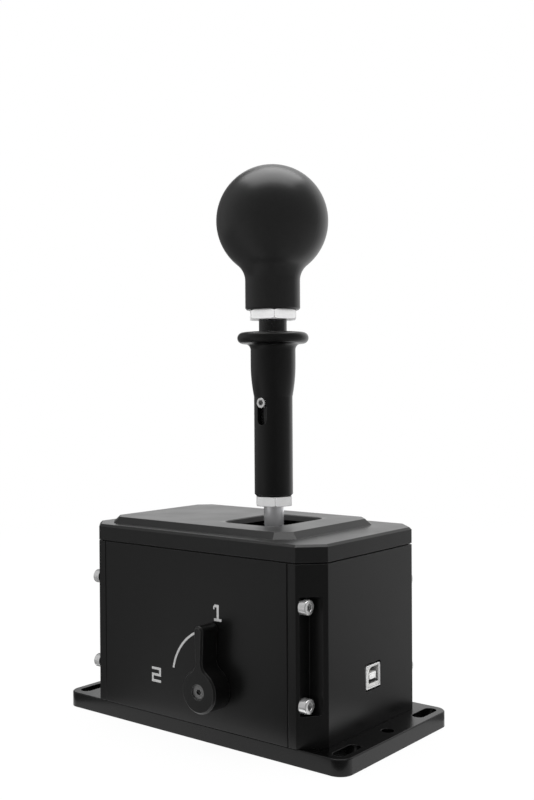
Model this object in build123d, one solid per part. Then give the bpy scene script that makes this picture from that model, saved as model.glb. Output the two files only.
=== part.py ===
"""Gear shifter: a two-axis lever in a screwed metal box.

Frame: origin at the middle of the base plate's underside, +Z up, +X towards the data socket, -Y towards the
face that carries the mode lever. All lengths are in millimetres and all angles in degrees.
"""

import os
from math import atan2, cos, degrees, radians, sin, sqrt, tan

from build123d import *

# Clearances and cuts
running_gap = 0.05
fit_gap = 0.02
free_gap = 0.3
overrun = 2.0

# Base plate
plate_margin = 14.6
plate_thickness = 7.4
plate_corner_radius = 6.5
plate_edge_bevel = 0.4
slot_end_inset = 6.8
slot_side_inset = 12.4
slot_width = 6.4
slot_length = 17.0
end_hole_radius = 3.0

# Box: two end caps and two side plates
body_length = 144.0
body_width = 91.2
body_chamfer = 10.2
box_top = 87.6
side_plate_thickness = 7.2
end_cap_thickness = 14.75
end_wall = 6.0
end_post_width = 12.1
end_shelf = 8.0
seam_bevel = 0.45
notch_depth = 9.1
notch_side = 5.0
notch_end = 4.4
notch_corner_radius = 1.5
housing_screw_low = 18.5
housing_screw_pitch = 43.0

# Top cover
cover_gap = 0.7
cover_gap_depth = 1.2
cover_ledge_height = 8.4
cover_edge_bevel = 1.1
plateau_rise = 3.0
plateau_slope = 45.0
plateau_rear_margin = 8.9
plateau_front_margin = 23.2
plateau_side_margin = 10.0
plateau_chamfer = 5.9
cover_skin = 3.0
cavity_rear_margin = 18.0
cavity_front_margin = 26.0
cavity_side_margin = 12.0
opening_length = 33.5
opening_width = 42.6
opening_corner_radius = 6.5
opening_bevel = 0.4
cover_screw_inset = 10.4
cover_screw_side = 22.0
cover_thread_depth = 5.5

# Screws: shank radius, head radius and height, socket across its flats and its depth
m4_shank = 2.0
m4_head_radius = 3.4
m4_head_height = 3.9
head_rounding_share = 0.13
m4_socket = 3.0
m4_socket_depth = 2.2
m4_length = 16.0
m4_clearance = 0.2
csk_head_radius = 4.0
csk_head_height = 2.3
csk_length = 16.0
csk_inset = 0.2
m3_shank = 1.5
m3_head_radius = 2.75
m3_head_height = 3.0
m3_socket = 2.5
m3_socket_depth = 1.6
m3_length = 7.0
m2_shank = 1.0
m2_head_radius = 1.9
m2_head_height = 1.3
m2_socket = 1.5
m2_socket_depth = 0.8
m2_length = 3.4
base_side_screw_x = 35.0
base_side_screw_inset = 4.7
base_end_screw_inset = 10.4
base_end_screw_side = 7.0

# Lever and its two tilt axes
lever_x = 14.7
pivot_z = 50.0
select_angle = 16.0
shift_angle = 11.0
shaft_radius = 5.0
shaft_top = 124.0
shaft_seat = 44.0
shaft_bore_radius = 2.2

# Pedestals, cradle and their axles
pedestal_gap = 2.0
pedestal_thickness = 10.0
pedestal_half_width = 13.0
pedestal_foot_half_width = 17.0
pedestal_foot_height = 8.0
pedestal_foot_radius = 3.0
pedestal_screw_y = 10.5
axle_radius = 4.0
bearing_outer_radius = 8.0
bearing_width = 5.0
bearing_groove = 0.4
bearing_race = 1.2
axle_clear_radius = 5.0
cradle_half_length = 22.0
pedestal_inner = cradle_half_length + pedestal_gap
cradle_half_width = 19.0
cradle_half_height = 8.0
cradle_bar = 6.0
cradle_corner_radius = 3.0
cradle_boss_radius = 6.5
cradle_boss_height = 1.6
lug_y = 23.0
lug_radius = 4.5
tongue_half_width = 5.0
tongue_thickness = 5.0
tongue_length = 17.0
riser_low_y = 6.0
riser_high_y = 14.0
riser_height = 15.6

# Hub, its axles and the detents
hub_half_length = 9.0
hub_half_width = 11.5
hub_half_height = 9.0
hub_bevel = 1.0
hub_boss_radius = 7.0
hub_boss_height = 4.0
tail_radius = 6.0
tail_end_z = 22.0
trunnion_radius = 3.0
trunnion_inner = 6.0
trunnion_bearing_radius = 6.0
trunnion_bearing_width = 4.0
sector_radius = 22.0
sector_thickness = 3.0
sector_spread = 24.0
notch_radius = 1.7
nose_radius = 1.4
leaf_thickness = 0.6
leaf_width = 5.0
leaf_screw_length = 6.0

# Gate
gate_z = 17.0
gate_thickness = 3.0
gate_half_length = 22.0
gate_half_width = 18.0
gate_corner_radius = 3.0
gate_pin_radius = 2.5
gate_pin_end = 14.0
gate_pin_shank_length = 5.5
gate_slot_half = 3.2
standoff_x = 18.5
standoff_y = 14.5
standoff_flats = 5.5
standoff_stud = 4.0
magnet_radius = 1.5
magnet_height = 2.0
stop_post_x = 13.0
stop_post_y = 10.6
stop_post_radius = 2.0
stop_post_height = 10.5

# Lock-out collar on the lever
sleeve_bottom = 111.3
sleeve_radius = 9.5
sleeve_crease_z = 159.8
sleeve_upper_radius = 11.1
sleeve_taper_end_z = 176.0
sleeve_flare_radius = 3.0
flange_radius = 17.6
flange_top = 191.5
flange_thickness = 5.6
sleeve_bottom_bevel = 0.7
sleeve_spring_seat = 163.0
sleeve_spring_bore = 8.6
sleeve_slot_width = 5.5
sleeve_slot_low = 146.0
guide_screw_radius = 2.45
guide_screw_z = 156.9
guide_screw_proud = 0.5
guide_screw_depth = 6.0
guide_socket = 2.5
guide_socket_depth = 2.5
collar_lift = 6.0
rod_radius = 2.0
rod_top = 133.0
rod_bottom = 28.0
cross_pin_radius = 1.0
upper_pin_z = 130.6
lower_pin_z = 30.5
ring_radius = 9.0
ring_height = 8.0
ring_bevel = 0.6

# Extension tube, nuts and knob
tube_radius = 6.9
tube_bottom = 111.0
tube_top = 222.0
tube_chamber_radius = 3.2
tube_chamber_top = 146.5
retainer_radius = 8.2
retainer_z = 186.0
retainer_thickness = 1.2
lower_nut_flats = 17.0
lower_nut_height = 4.7
upper_nut_flats = 22.0
upper_nut_height = 4.8
nut_bevel_share = 1.07
nut_bevel_angle = 30.0
nut_turn = 11.4
knob_radius = 27.6
knob_centre_z = 246.2
knob_neck_radius = 13.55
knob_bottom = 202.5
knob_blend_radius = 10.0
knob_edge = 0.8
insert_radius = 9.0
insert_top = 226.0

# Mode lever, shaft, slider and lock pin
mode_z = 26.5
mode_lever_gap = 0.5
mode_lever_proud = 11.2
mode_hub_radius = 10.05
mode_neck_half = 2.05
mode_waist_radius = 5.5
mode_tip_radius = 2.7
mode_tip_reach = 29.9
mode_edge = 0.9
mode_recess_radius = 3.6
mode_recess_depth = 0.6
mode_screw_shank = 2.0
mode_screw_head_radius = 3.2
mode_screw_head_height = 2.2
mode_screw_length = 9.0
mode_socket = 2.5
mode_socket_depth = 1.4
mode_shaft_radius = 4.0
mode_bush_radius = 6.0
mode_bush_flange_radius = 8.0
mode_bush_flange = 1.0
wave_washer_thickness = 0.5
crank_disc_radius = 8.0
crank_disc_thickness = 2.6
crank_pin_radius = 1.5
crank_clearance = 0.35
mode_travel = 6.0
slider_thickness = 3.0
slider_low = 17.5
slider_high = 34.5
slider_front = 18.0
slider_arm_x = 62.0
slider_arm_high = 38.0
slider_arm_low = 26.0
slider_arm_reach = 5.0
guide_pin_radius = 2.5
guide_pin_head_radius = 4.0
guide_pin_head = 1.5
guide_pin_thread = 4.0
guide_pin_z = 29.5
guide_pin_front = 12.0
guide_pin_rear = 30.0
lock_pin_radius = 2.5
lock_pin_z = 32.0
lock_pin_gap = 1.0
lock_pin_flange_x = 40.5
lock_pin_flange = 2.0
lock_pin_flange_radius = 4.5
lock_pin_tail_radius = 1.75
lock_pin_tail_end = 64.0
lock_pin_clip_radius = 3.5
lock_pin_clip = 1.0

# Springs: wire size and coil radius at the middle of the wire
spring_end_gap = 0.15
spring_seat_radius = 5.0
spring_seat_height = 3.0
spring_stub_radius = 2.4
spring_stub_height = 4.0
centring_wire = 1.2
centring_coil_radius = 3.6
centring_turns = 7
collar_wire = 0.9
collar_coil_radius = 7.75
collar_turns = 6
lock_wire = 0.7
lock_coil_radius = 3.0
lock_turns = 5

# Electronics
sensor_board_rear = 14.0
sensor_board_front = 21.0
sensor_board_half_width = 10.5
board_thickness = 1.6
sensor_spacer_height = 2.0
sensor_spacer_radius = 2.2
sensor_screw_inset = 3.0
sensor_length = 5.0
sensor_width = 4.4
sensor_height = 1.2
plug_length = 6.0
plug_half_width = 4.0
plug_height = 4.0
main_board_gap = 7.4
main_board_half_width = 24.0
main_board_low = 9.0
main_board_high = 64.0
main_screw_inset = 4.0
chip_size = 9.0
chip_height = 1.2
chip_z = 50.0
crystal_length = 8.0
crystal_height = 3.0
crystal_gap = 2.4
socket_width = 11.7
socket_height = 10.8
socket_z = 31.2
socket_proud = 0.3
socket_bevel = 0.6
socket_wall = 1.6
socket_mouth_bevel = 2.0
socket_depth = 9.5
socket_tongue_width = 5.6
socket_tongue_height = 3.2
socket_tongue_short = 0.4
cutout_width = 13.5
cutout_height = 12.5
cutout_radius = 1.5
lead_radius = 1.2
lead_hole_radius = 2.5

half_length = body_length / 2
half_width = body_width / 2
plate_length = body_length + 2 * plate_margin
slot_centre_x = plate_length / 2 - slot_end_inset
slot_centre_y = half_width - slot_side_inset
base_end_screw_x = half_length - base_end_screw_inset
base_end_screw_y = half_width - base_end_screw_side
base_side_screw_y = half_width - base_side_screw_inset
joint_x = half_length - end_cap_thickness
side_inner_y = half_width - side_plate_thickness
side_screw_y = half_width - side_plate_thickness / 2
pocket_x = half_length - end_wall
pocket_y = half_width - end_post_width
notch_x = half_length - notch_depth
notch_y = side_screw_y - notch_side
screw_levels = [
    plate_thickness + housing_screw_low,
    plate_thickness + housing_screw_low + housing_screw_pitch,
]
base_thread = (plate_thickness - overrun, csk_inset + csk_length + free_gap)
ledge_z = box_top + cover_ledge_height
cover_top = ledge_z + plateau_rise
gate_reach = pivot_z - gate_z - gate_thickness / 2
column_pitch = gate_reach * tan(radians(select_angle))
gate_travel = gate_reach * tan(radians(shift_angle)) / cos(radians(select_angle))


def block(x, y, z):
    """A box between two planes on each axis."""
    size = [high - low for low, high in (x, y, z)]
    middle = [(low + high) / 2 for low, high in (x, y, z)]
    return Pos(*middle) * Box(*size)


def rod_x(radius, x, y, z):
    """A cylinder along X between two planes."""
    return Pos(sum(x) / 2, y, z) * Rot(0, 90, 0) * Cylinder(radius, x[1] - x[0])


def rod_y(radius, y, x, z):
    """A cylinder along Y between two planes."""
    return Pos(x, sum(y) / 2, z) * Rot(90, 0, 0) * Cylinder(radius, y[1] - y[0])


def rod_z(radius, z, x=0, y=0):
    """A cylinder along Z between two planes."""
    return Pos(x, y, sum(z) / 2) * Cylinder(radius, z[1] - z[0])


def plan(points, z):
    """A closed outline seen from above, raised between two levels."""
    outline = make_face(Polyline(*points, close=True))
    return Pos(0, 0, z[0]) * extrude(outline, amount=z[1] - z[0])


def turned(points):
    """A profile of radius and height, turned about the Z axis."""
    return revolve(Plane.XZ * make_face(Polyline(*points, close=True)), axis=Axis.Z)


def on_lever(shape):
    """Moves a shape that is drawn about the Z axis to the lever's axis."""
    return Pos(lever_x, 0, 0) * shape


def hexagon(flats, z, turn=0):
    """A hexagonal bar about the Z axis."""
    outline = Rot(0, 0, turn) * RegularPolygon(flats / 2, 6, major_radius=False)
    return Pos(0, 0, z[0]) * extrude(outline, amount=z[1] - z[0])


def cap_screw(shank, length, head_radius, head_height, socket, socket_depth):
    """A socket-head screw along Z: the head stands above zero and the shank hangs below."""
    head = rod_z(head_radius, (0, head_height))
    head = fillet(head.edges().sort_by(Axis.Z)[-1], head_radius * head_rounding_share)
    screw = head + rod_z(shank - fit_gap, (-length, 0))
    return screw - hexagon(socket, (head_height - socket_depth, head_height + overrun))


def m4_screw(length=m4_length):
    return cap_screw(m4_shank, length, m4_head_radius, m4_head_height, m4_socket, m4_socket_depth)


def m3_screw(length=m3_length):
    return cap_screw(m3_shank, length, m3_head_radius, m3_head_height, m3_socket, m3_socket_depth)


def m2_screw():
    return cap_screw(m2_shank, m2_length, m2_head_radius, m2_head_height, m2_socket, m2_socket_depth)


def countersunk_screw():
    """A flat-head screw that points up, with its head's flat face at zero."""
    head = Pos(0, 0, csk_head_height / 2) * Cone(csk_head_radius, m4_shank, csk_head_height)
    screw = head + rod_z(m4_shank - fit_gap, (0, csk_length))
    return screw - hexagon(m4_socket, (-overrun, csk_head_height / 2))


def countersink():
    """The cut that a flat-head screw leaves in a plate whose underside is at zero."""
    slope = (csk_head_radius - m4_shank) / csk_head_height
    mouth = csk_head_radius + slope * csk_inset
    top = csk_inset + csk_head_height
    return turned([(0, 0), (mouth, 0), (m4_shank, top), (m4_shank, plate_thickness), (0, plate_thickness)])


def coil(wire, coil_radius, turns, length):
    """A compression spring about the Z axis, of square wire, standing on zero."""
    climb = length - wire
    path = Helix(climb / turns, climb, coil_radius)
    start = Pos(coil_radius, 0, 0) * Rot(90, 0, 0)
    return Pos(0, 0, wire / 2) * sweep(start * Rectangle(wire, wire), path=path)


def base_screw_places():
    """Where the countersunk screws go: side plates, end caps and pedestals."""
    middle = pedestal_inner + pedestal_thickness / 2
    places = []
    for x, y, shift in (
        (base_side_screw_x, base_side_screw_y, 0),
        (base_end_screw_x, base_end_screw_y, 0),
        (middle, pedestal_screw_y, lever_x),
    ):
        places += [(shift + end * x, side * y) for end in (-1, 1) for side in (-1, 1)]
    return places


def standoff_places():
    return [(lever_x + x, y) for x in (-standoff_x, standoff_x) for y in (-standoff_y, standoff_y)]


def sensor_screw_places():
    near = lever_x - sensor_board_rear + sensor_screw_inset
    far = lever_x + sensor_board_front - sensor_screw_inset
    side = sensor_board_half_width - sensor_screw_inset
    return [(x, y) for x in (near, far) for y in (-side, side)]


def base_plate():
    """The mounting plate: slots across both ends and a round hole between each pair."""
    outline = RectangleRounded(plate_length, body_width, plate_corner_radius)
    plate = extrude(outline, amount=plate_thickness)
    plate = chamfer(plate.faces().sort_by(Axis.Z)[-1].edges(), plate_edge_bevel)
    through = (-overrun, plate_thickness + overrun)
    for x in (-slot_centre_x, slot_centre_x):
        plate -= rod_z(end_hole_radius, through, x, 0)
        for y in (-slot_centre_y, slot_centre_y):
            slot = Rot(0, 0, 90) * SlotOverall(slot_length, slot_width)
            plate -= Pos(x, y, -overrun) * extrude(slot, amount=plate_thickness + 2 * overrun)
    for x, y in base_screw_places():
        plate -= Pos(x, y, 0) * countersink()
    for x, y in standoff_places():
        plate -= rod_z(m3_shank, (plate_thickness - standoff_stud, plate_thickness + overrun), x, y)
    for x, y in sensor_screw_places():
        plate -= rod_z(m2_shank, (plate_thickness - m2_length, plate_thickness + overrun), x, y)
    return plate


def end_cap(end):
    """A milled end of the box. end is 1 for the socket's end and -1 for the other."""
    w = half_width
    points = [
        (joint_x, -w + seam_bevel),
        (joint_x + seam_bevel, -w),
        (half_length - body_chamfer, -w),
        (half_length, -w + body_chamfer),
        (half_length, w - body_chamfer),
        (half_length - body_chamfer, w),
        (joint_x + seam_bevel, w),
        (joint_x, w - seam_bevel),
    ]
    cap = plan(points, (plate_thickness, box_top))
    cap -= block(
        (joint_x - overrun, pocket_x), (-pocket_y, pocket_y), (plate_thickness - overrun, box_top - end_shelf)
    )
    low = screw_levels[0] - notch_end
    high = screw_levels[1] + notch_end
    for side in (-1, 1):
        across = sorted((side * notch_y, side * (w + overrun)))
        notch = block((notch_x, half_length + overrun), across, (low, high))
        inner = [e for e in notch.edges().filter_by(Axis.X) if abs(e.center().Y) < w]
        cap -= fillet(inner, notch_corner_radius)
        for z in screw_levels:
            hole = (joint_x - overrun, notch_x + overrun)
            cap -= rod_x(m4_shank + m4_clearance, hole, side * side_screw_y, z)
        cap -= rod_z(
            m4_shank + m4_clearance,
            (box_top - end_shelf - overrun, box_top + overrun),
            half_length - cover_screw_inset,
            side * cover_screw_side,
        )
        cap -= rod_z(m4_shank, base_thread, base_end_screw_x, side * base_end_screw_y)
    if end > 0:
        cutout = Plane.YZ * RectangleRounded(cutout_width, cutout_height, cutout_radius)
        cap -= Pos(pocket_x - overrun, 0, socket_z) * extrude(cutout, amount=end_wall + 2 * overrun)
        for y, z in main_screw_places():
            cap -= rod_x(m3_shank, (pocket_x - overrun, pocket_x + m3_length / 2), y, z)
        return cap
    return Rot(0, 0, 180) * cap


def side_plate(side):
    """A plain long wall. side is -1 for the mode lever's face and 1 for the other."""
    w = half_width
    points = [
        (-joint_x, -side_inner_y),
        (-joint_x, -w + seam_bevel),
        (-joint_x + seam_bevel, -w),
        (joint_x - seam_bevel, -w),
        (joint_x, -w + seam_bevel),
        (joint_x, -side_inner_y),
    ]
    wall = plan(points, (plate_thickness, box_top))
    deep = joint_x - (m4_length - (notch_x - joint_x)) - free_gap
    for x in (-1, 1):
        for z in screw_levels:
            wall -= rod_x(m4_shank, sorted((x * deep, x * (joint_x + overrun))), -side_screw_y, z)
        wall -= rod_z(m4_shank, base_thread, x * base_side_screw_x, -base_side_screw_y)
    if side > 0:
        return Rot(0, 0, 180) * wall
    wall -= rod_y(mode_bush_radius, (-w - overrun, -side_inner_y + overrun), lever_x, mode_z)
    for x in (lever_x + guide_pin_front, lever_x - guide_pin_rear):
        wall -= rod_y(m3_shank, (-side_inner_y - guide_pin_thread, -side_inner_y + overrun), x, guide_pin_z)
    return wall


def chamfered(x, y, cut, z):
    """A rectangle with cut corners, seen from above, raised between two levels."""
    (x0, x1), (y0, y1) = x, y
    points = [
        (x0 + cut, y0),
        (x1 - cut, y0),
        (x1, y0 + cut),
        (x1, y1 - cut),
        (x1 - cut, y1),
        (x0 + cut, y1),
        (x0, y1 - cut),
        (x0, y0 + cut),
    ]
    return plan(points, z)


def top_cover():
    """The cover: a chamfered slab with a raised plateau, hollowed below and open for the lever."""
    side = (-half_width, half_width)
    ends = (-half_length, half_length)
    cover = chamfered(ends, side, body_chamfer, (box_top + cover_gap, ledge_z))
    cover = chamfer(cover.faces().sort_by(Axis.Z)[-1].edges(), cover_edge_bevel)
    inset = cover_gap_depth
    cover += chamfered(
        (-half_length + inset, half_length - inset),
        (-half_width + inset, half_width - inset),
        body_chamfer,
        (box_top, box_top + cover_gap + overrun),
    )
    run = plateau_rise / tan(radians(plateau_slope))
    foot = [
        (-half_length + plateau_rear_margin - run, half_length - plateau_front_margin + run),
        (-half_width + plateau_side_margin - run, half_width - plateau_side_margin + run),
    ]
    cut = plateau_chamfer + run * (2 - sqrt(2))
    base = chamfered(*foot, cut, (ledge_z, ledge_z + plateau_rise)).faces().sort_by(Axis.Z)[0]
    cover += extrude(base, amount=plateau_rise, dir=(0, 0, 1), taper=90 - plateau_slope)
    cover -= block(
        (-half_length + cavity_rear_margin, half_length - cavity_front_margin),
        (-half_width + cavity_side_margin, half_width - cavity_side_margin),
        (box_top - overrun, cover_top - cover_skin),
    )
    opening = RectangleRounded(opening_length, opening_width, opening_corner_radius)
    cover -= Pos(lever_x, 0, ledge_z - overrun) * extrude(opening, amount=plateau_rise + 2 * overrun)
    rim = cover.faces().filter_by(Axis.Z).sort_by(Axis.Z)[-1].inner_wires()[0]
    cover = chamfer(rim.edges(), opening_bevel)
    for x, y in cover_screw_places():
        cover -= rod_z(m4_shank, (box_top - overrun, box_top + cover_thread_depth), x, y)
    return cover


def cover_screw_places():
    x = half_length - cover_screw_inset
    return [(end * x, side * cover_screw_side) for end in (-1, 1) for side in (-1, 1)]


def housing_screws():
    """The screws in the corner notches, through the end caps into the side plates."""
    screws = []
    for end in (-1, 1):
        for side in (-1, 1):
            for z in screw_levels:
                screws.append(Pos(end * notch_x, side * side_screw_y, z) * Rot(0, end * 90, 0) * m4_screw())
    return screws


def base_screws():
    return [Pos(x, y, csk_inset) * countersunk_screw() for x, y in base_screw_places()]


def cover_screws():
    """Screws that point up from inside, through the end caps' shelves into the cover."""
    length = end_shelf + cover_thread_depth - free_gap
    screw = Rot(180, 0, 0) * m4_screw(length)
    return [Pos(x, y, box_top - end_shelf) * screw for x, y in cover_screw_places()]


def pedestal(end):
    """A bearing block that stands on the base plate beside the cradle."""
    x = (pedestal_inner, pedestal_inner + pedestal_thickness)
    half = pedestal_half_width
    body = block(x, (-half, half), (plate_thickness, pivot_z)) + rod_x(half, x, 0, pivot_z)
    foot_top = plate_thickness + pedestal_foot_height
    body += block(x, (-pedestal_foot_half_width, pedestal_foot_half_width), (plate_thickness, foot_top))
    inner = [e for e in body.edges().filter_by(Axis.X) if abs(e.center().Z - foot_top) < fit_gap]
    inner = [e for e in inner if abs(abs(e.center().Y) - half) < fit_gap]
    body = fillet(inner, pedestal_foot_radius)
    seat = (pedestal_inner - overrun, pedestal_inner + free_gap + bearing_width)
    body -= rod_x(bearing_outer_radius, seat, 0, pivot_z)
    body -= rod_x(axle_clear_radius, (seat[1] - overrun, x[1] + overrun), 0, pivot_z)
    for y in (-pedestal_screw_y, pedestal_screw_y):
        body -= rod_z(m4_shank, base_thread, sum(x) / 2, y)
    if end > 0:
        body -= rod_x(lead_hole_radius, (x[0] - overrun, x[1] + overrun), 0, lead_z())
        return on_lever(body)
    body -= rod_x(lock_pin_radius + running_gap, (x[0] - overrun, x[1] + overrun), 0, lock_pin_z)
    return on_lever(Rot(0, 0, 180) * body)


def ball_bearing(bore, outer, width):
    """A shielded ball bearing about the Z axis, standing on zero."""
    ring = rod_z(outer - fit_gap, (0, width)) - rod_z(bore + running_gap, (-overrun, width + overrun))
    depth = (0, bearing_groove)
    groove = rod_z(outer - bearing_race, depth) - rod_z(bore + bearing_race, depth)
    return ring - groove - Pos(0, 0, width - bearing_groove) * groove


def select_bearings():
    bearings = []
    for end in (-1, 1):
        place = Pos(lever_x + end * (pedestal_inner + free_gap), 0, pivot_z) * Rot(0, end * 90, 0)
        bearings.append(place * ball_bearing(axle_radius, bearing_outer_radius, bearing_width))
    return bearings


def cradle():
    """The frame that tilts sideways: it carries the hub's bearings, the spring lugs and the lock tongue."""
    x, y, h = cradle_half_length, cradle_half_width, cradle_half_height
    z = (pivot_z - h, pivot_z + h)
    frame = extrude(RectangleRounded(2 * x, 2 * y, cradle_corner_radius), amount=2 * h)
    window = RectangleRounded(2 * (x - cradle_bar), 2 * (y - cradle_bar), cradle_corner_radius)
    frame -= Pos(0, 0, -overrun) * extrude(window, amount=2 * (h + overrun))
    frame = Pos(0, 0, z[0]) * frame
    for end in (-1, 1):
        frame += rod_x(cradle_boss_radius, sorted((end * x, end * (x + cradle_boss_height))), 0, pivot_z)
        across = sorted((end * (x - cradle_bar - overrun), end * (x + 2 * overrun)))
        frame -= rod_x(axle_radius, across, 0, pivot_z)
        across = sorted((end * (y - cradle_bar - overrun), end * (y + overrun)))
        frame -= rod_y(trunnion_bearing_radius, across, 0, pivot_z)
        bar_x = x - cradle_bar / 2
        lug = rod_z(lug_radius, (z[0], pivot_z), bar_x, end * lug_y)
        lug += block((x - cradle_bar, x), sorted((end * (y - cradle_bar), end * lug_y)), (z[0], pivot_z))
        frame += lug
        frame += rod_z(spring_stub_radius, (z[0] - spring_stub_height, z[0]), bar_x, end * lug_y)
    frame += block((x - cradle_bar, x), (riser_low_y, riser_high_y), (pivot_z, z[1] + riser_height))
    screw_y = (riser_low_y + riser_high_y) / 2
    thread = (leaf_z() - leaf_screw_length, leaf_z() + overrun)
    frame -= rod_z(m3_shank, thread, x - cradle_bar / 2, screw_y)
    w = tongue_half_width
    tongue_z = (z[0] - tongue_length, pivot_z - axle_radius - free_gap)
    frame += block((-x, -x + tongue_thickness), (-w, w), tongue_z)
    frame -= rod_x(lock_pin_radius + free_gap, (-x - overrun, -x + cradle_bar + overrun), 0, lock_pin_z)
    return on_lever(frame)


def select_axles():
    x = (cradle_half_length - cradle_bar, pedestal_inner + pedestal_thickness)
    axle = rod_x(axle_radius - fit_gap, x, 0, pivot_z)
    return [on_lever(axle), on_lever(Rot(0, 0, 180) * axle)]


def shift_bearings():
    middle = cradle_half_width - cradle_bar / 2
    bearings = []
    for side in (-1, 1):
        place = Pos(lever_x, side * (middle - trunnion_bearing_width / 2), pivot_z) * Rot(-side * 90, 0, 0)
        bearing = ball_bearing(trunnion_radius, trunnion_bearing_radius, trunnion_bearing_width)
        bearings.append(place * bearing)
    return bearings


def centring_springs():
    """Two springs that stand on the base plate and press up under the cradle's lugs."""
    low = plate_thickness + spring_seat_height + running_gap
    length = pivot_z - cradle_half_height - spring_end_gap - low
    x = lever_x + cradle_half_length - cradle_bar / 2
    spring = coil(centring_wire, centring_coil_radius, centring_turns, length)
    return [Pos(x, side * lug_y, low) * spring for side in (-1, 1)]


def spring_seats():
    low = plate_thickness
    top = low + spring_seat_height
    x = lever_x + cradle_half_length - cradle_bar / 2
    seat = rod_z(spring_seat_radius, (low, top)) + rod_z(spring_stub_radius, (top, top + spring_stub_height))
    return [Pos(x, side * lug_y, 0) * seat for side in (-1, 1)]


def shift_hub():
    """The block that holds the shaft and tilts fore and aft, with its detent sector and its tail."""
    h = hub_half_height
    length, width = hub_half_length, hub_half_width
    body = block((-length, length), (-width, width), (pivot_z - h, pivot_z + h))
    body = chamfer(body.edges().filter_by(Axis.Z), hub_bevel)
    top = pivot_z + h
    body += rod_z(hub_boss_radius, (top, top + hub_boss_height))
    body += rod_z(tail_radius, (tail_end_z, pivot_z - h))
    y = (hub_half_width - sector_thickness, hub_half_width)
    disc = rod_y(sector_radius, y, 0, pivot_z)
    reach = sector_radius * tan(radians(sector_spread))
    corners = [(0, 0), (-2 * reach, 2 * sector_radius), (2 * reach, 2 * sector_radius)]
    wedge = make_face(Polyline(*corners, close=True))
    wedge = Pos(0, y[1], pivot_z) * extrude(Plane.XZ * wedge, amount=sector_thickness)
    sector = disc & wedge
    for step in (-1, 0, 1):
        angle = radians(step * shift_angle)
        reach = sector_radius + notch_radius - nose_depth()
        sector -= rod_y(
            notch_radius, (y[0] - overrun, y[1] + overrun), reach * sin(angle), pivot_z + reach * cos(angle)
        )
    body += sector
    body -= rod_z(shaft_radius, (shaft_seat, top + hub_boss_height + overrun))
    body -= rod_z(shaft_bore_radius, (tail_end_z - overrun, top))
    for side in (-1, 1):
        across = sorted((side * trunnion_inner, side * (hub_half_width + overrun)))
        body -= rod_y(trunnion_radius, across, 0, pivot_z)
    w = cross_pin_radius + free_gap
    across = (-tail_radius - overrun, tail_radius + overrun)
    slot = block((-w, w), across, (lower_pin_z, lower_pin_z + collar_lift))
    for z in (lower_pin_z, lower_pin_z + collar_lift):
        slot += rod_y(w, across, 0, z)
    return on_lever(body - slot)


def nose_depth():
    """How far the leaf spring's nose sits below the sector's rim."""
    return notch_radius - free_gap


def shift_axles():
    y = (trunnion_inner, cradle_half_width)
    return [
        on_lever(rod_y(trunnion_radius - fit_gap, sorted((side * y[0], side * y[1])), 0, pivot_z))
        for side in (-1, 1)
    ]


def leaf_z():
    """The underside of the detent leaf, on top of the cradle's riser."""
    return pivot_z + cradle_half_height + riser_height


def detent_spring():
    """A flat spring on the riser whose rolled end drops into the sector's notches."""
    y = (riser_low_y + riser_high_y) / 2
    wide = (y - leaf_width / 2, y + leaf_width / 2)
    x = cradle_half_length
    leaf = block((-nose_radius / 2, x), wide, (leaf_z(), leaf_z() + leaf_thickness))
    leaf += rod_y(nose_radius, wide, 0, leaf_z() + leaf_thickness - nose_radius)
    leaf -= rod_z(m3_shank, (leaf_z() - overrun, leaf_z() + overrun), x - cradle_bar / 2, y)
    return on_lever(leaf)


def detent_screw():
    y = (riser_low_y + riser_high_y) / 2
    place = Pos(cradle_half_length - cradle_bar / 2, y, leaf_z() + leaf_thickness)
    return on_lever(place * m3_screw(leaf_screw_length))


def shift_shaft():
    """The bright lever shaft, bored for the lock-out rod."""
    return on_lever(
        rod_z(shaft_radius - fit_gap, (shaft_seat, shaft_top))
        - rod_z(shaft_bore_radius, (shaft_seat - overrun, shaft_top + overrun))
    )


def gate_pin():
    """The pin that runs in the gate, with a pocket for the magnet in its tip."""
    shank = rod_z(shaft_bore_radius - fit_gap, (tail_end_z, tail_end_z + gate_pin_shank_length))
    pin = rod_z(gate_pin_radius, (gate_pin_end, tail_end_z)) + shank
    return on_lever(pin - rod_z(magnet_radius, (gate_pin_end - overrun, gate_pin_end + magnet_height)))


def tip_magnet():
    return on_lever(rod_z(magnet_radius - fit_gap, (gate_pin_end, gate_pin_end + magnet_height)))


def gate_plate():
    """The shift gate: three columns joined by the neutral row."""
    outline = RectangleRounded(2 * gate_half_length, 2 * gate_half_width, gate_corner_radius)
    row_half = column_pitch + gate_slot_half
    outline -= Rot(0, 0, 90) * SlotOverall(2 * row_half, 2 * gate_slot_half)
    column = SlotOverall(2 * (gate_travel + gate_slot_half), 2 * gate_slot_half)
    for step in (-1, 0, 1):
        outline -= Pos(0, step * column_pitch) * column
    plate = Pos(lever_x, 0, gate_z) * extrude(outline, amount=gate_thickness)
    for x, y in standoff_places():
        plate -= rod_z(m3_shank + m4_clearance, (gate_z - overrun, gate_z + gate_thickness + overrun), x, y)
    return plate


def gate_standoffs():
    """Hexagonal standoffs with a stud in the base plate and a thread for the gate's screws."""
    posts = []
    for x, y in standoff_places():
        post = hexagon(standoff_flats, (plate_thickness, gate_z))
        post += rod_z(m3_shank - fit_gap, (plate_thickness - standoff_stud, plate_thickness))
        post -= rod_z(m3_shank, (gate_z - (m3_length - gate_thickness) - free_gap, gate_z + overrun))
        posts.append(Pos(x, y, 0) * post)
    return posts


def gate_screws():
    return [Pos(x, y, gate_z + gate_thickness) * m3_screw() for x, y in standoff_places()]


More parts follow.
